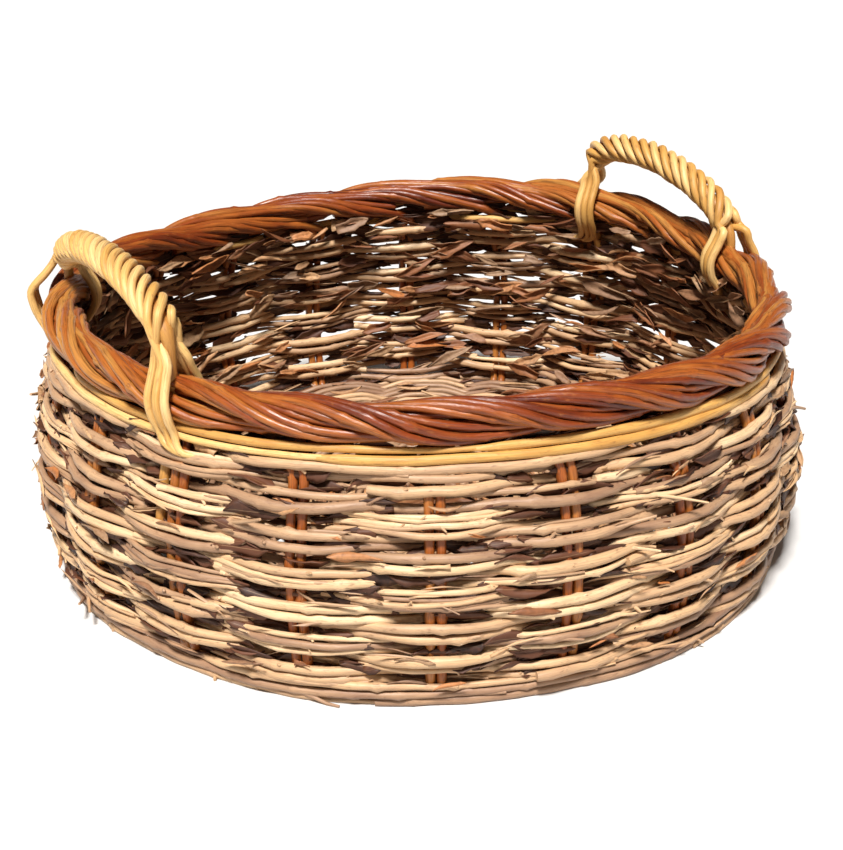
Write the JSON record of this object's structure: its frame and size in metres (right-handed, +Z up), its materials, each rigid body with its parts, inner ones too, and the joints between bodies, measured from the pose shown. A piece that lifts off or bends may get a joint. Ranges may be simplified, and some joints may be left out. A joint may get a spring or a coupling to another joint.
{
  "type": "round wicker basket",
  "caption": "Round willow basket with a bellied stake-and-strand wall, a thick rope border and two short roped bow handles.",
  "frame": {"origin": "centre of the circle that the basket stands on", "axes": "+Z up through the basket's middle, +Y towards the back, the handles lie towards -X (slightly forward) and +X (slightly back)"},
  "size_m": [0.4766, 0.4766, 0.2245],
  "materials": {
    "brown_stakes_and_border": "brown willow with its bark on, waxy sheen",
    "buff_siding": "dry matt twigs, partly stripped",
    "peeled_wale": "peeled white willow, straw-coloured, satin",
    "peeled_handles": "peeled white willow, straw-coloured, satin",
    "base_sticks": "thick brown willow sticks, matt",
    "base_weave": "dry matt twigs"
  },
  "bodies": {
    "root": {"base_stick_pierced_1": "base_sticks", "base_stick_pierced_2": "base_sticks", "base_stick_pierced_3": "base_sticks", "base_stick_pierced_4": "base_sticks", "base_stick_pierced_5": "base_sticks", "base_stick_threaded_1": "base_sticks", "base_stick_threaded_2": "base_sticks", "base_stick_threaded_3": "base_sticks", "base_stick_threaded_4": "base_sticks", "base_stick_threaded_5": "base_sticks", "base_weave_ring_1": "base_weave", "base_weave_ring_2": "base_weave", "base_weave_ring_3": "base_weave", "base_weave_ring_4": "base_weave", "upsett_wale": "buff_siding", "siding_row_01": "buff_siding", "siding_row_02": "buff_siding", "siding_row_03": "buff_siding", "siding_row_04": "buff_siding", "siding_row_05": "buff_siding", "siding_row_06": "buff_siding", "siding_row_07": "buff_siding", "siding_row_08": "buff_siding", "siding_row_09": "buff_siding", "siding_row_10": "buff_siding", "siding_row_11": "buff_siding", "siding_row_12": "buff_siding", "top_wale_lower": "peeled_wale", "top_wale_upper": "peeled_wale", "stake_pair_01": "brown_stakes_and_border", "stake_pair_02": "brown_stakes_and_border", "stake_pair_03": "brown_stakes_and_border", "stake_pair_04": "brown_stakes_and_border", "stake_pair_05": "brown_stakes_and_border", "stake_pair_06": "brown_stakes_and_border", "stake_pair_07": "brown_stakes_and_border", "stake_pair_08": "brown_stakes_and_border", "stake_pair_09": "brown_stakes_and_border", "stake_pair_10": "brown_stakes_and_border", "stake_pair_11": "brown_stakes_and_border", "stake_pair_12": "brown_stakes_and_border", "stake_pair_13": "brown_stakes_and_border", "stake_pair_14": "brown_stakes_and_border", "stake_pair_15": "brown_stakes_and_border", "stake_pair_16": "brown_stakes_and_border", "stake_pair_17": "brown_stakes_and_border", "stake_pair_18": "brown_stakes_and_border", "stake_pair_19": "brown_stakes_and_border", "stake_pair_20": "brown_stakes_and_border", "handle_bow_left": "peeled_handles", "handle_wrap_left_1": "peeled_handles", "handle_wrap_left_2": "peeled_handles", "handle_wrap_left_3": "peeled_handles", "handle_bow_right": "peeled_handles", "handle_wrap_right_1": "peeled_handles", "handle_wrap_right_2": "peeled_handles", "handle_wrap_right_3": "peeled_handles"}
  },
  "joints": []
}
